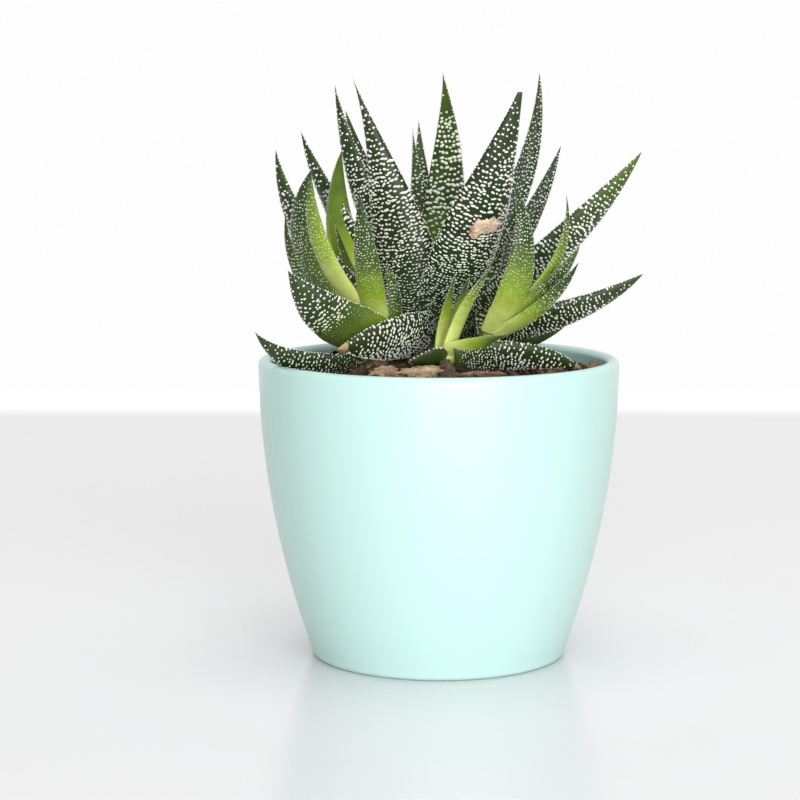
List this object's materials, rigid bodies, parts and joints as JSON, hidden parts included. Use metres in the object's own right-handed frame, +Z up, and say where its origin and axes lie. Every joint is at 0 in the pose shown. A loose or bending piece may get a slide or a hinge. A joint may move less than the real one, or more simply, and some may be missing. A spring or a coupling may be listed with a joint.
{
  "type": "potted haworthia succulent",
  "caption": "Haworthia cluster with a main rosette, side pups and pearl-dotted pointed leaves, in a round glazed pot with soil and bark chips.",
  "frame": {"origin": "centre of the pot's flat underside, on the surface it stands on", "axes": "+Z up along the pot's axis; -Y is the front, where the side pups show; +X to the right seen from the front"},
  "size_m": [0.0959, 0.0913, 0.1456],
  "materials": {
    "glaze": "gloss",
    "soil": "matte",
    "bark": "matte",
    "dry_flake": "matte",
    "stem": "matte",
    "dark_leaf": "satin",
    "bright_leaf": "satin"
  },
  "bodies": {
    "root": {"pot": "glaze", "soil": "soil", "dry_flake": "dry_flake", "bark_chip_01": "bark", "bark_chip_02": "bark", "bark_chip_03": "bark", "bark_chip_04": "bark", "bark_chip_05": "bark", "bark_chip_06": "bark", "bark_chip_07": "bark", "bark_chip_08": "bark", "front_pup_leaf_left": "bright_leaf", "front_pup_leaf_lying": "bright_leaf", "front_pup_leaf_middle": "bright_leaf", "front_pup_leaf_right": "bright_leaf", "front_pup_stem": "stem", "left_pup_leaf_arched": "bright_leaf", "left_pup_leaf_broad_low": "dark_leaf", "left_pup_leaf_front": "bright_leaf", "left_pup_leaf_inner": "bright_leaf", "left_pup_leaf_lying": "dark_leaf", "left_pup_leaf_outer": "dark_leaf", "left_pup_leaf_outer_low": "bright_leaf", "left_pup_leaf_slim": "bright_leaf", "left_pup_leaf_small": "dark_leaf", "left_pup_stem": "stem", "main_leaf_back_low": "dark_leaf", "main_leaf_back_low_left": "dark_leaf", "main_leaf_back_low_right": "dark_leaf", "main_leaf_back_mid": "dark_leaf", "main_leaf_back_slim_left": "dark_leaf", "main_leaf_back_slim_right": "dark_leaf", "main_leaf_crown": "dark_leaf", "main_leaf_front_left_tall": "dark_leaf", "main_leaf_front_lying": "dark_leaf", "main_leaf_front_right_tall": "dark_leaf", "main_leaf_left_inner": "dark_leaf", "main_leaf_left_low": "dark_leaf", "main_leaf_left_mid": "dark_leaf", "main_leaf_left_tall": "dark_leaf", "main_leaf_right_inner": "dark_leaf", "main_leaf_right_low": "dark_leaf", "front_pup_leaf_right_lying": "dark_leaf", "main_leaf_right_mid": "dark_leaf", "main_leaf_right_small": "dark_leaf", "main_leaf_right_tall": "dark_leaf", "main_stem": "stem", "right_pup_leaf_bright": "bright_leaf", "right_pup_leaf_broad": "bright_leaf", "right_pup_leaf_inner": "dark_leaf", "right_pup_leaf_outer": "dark_leaf", "right_pup_leaf_outer_low": "bright_leaf", "right_pup_stem": "stem", "front_pup_leaf_low": "dark_leaf"}
  },
  "joints": []
}
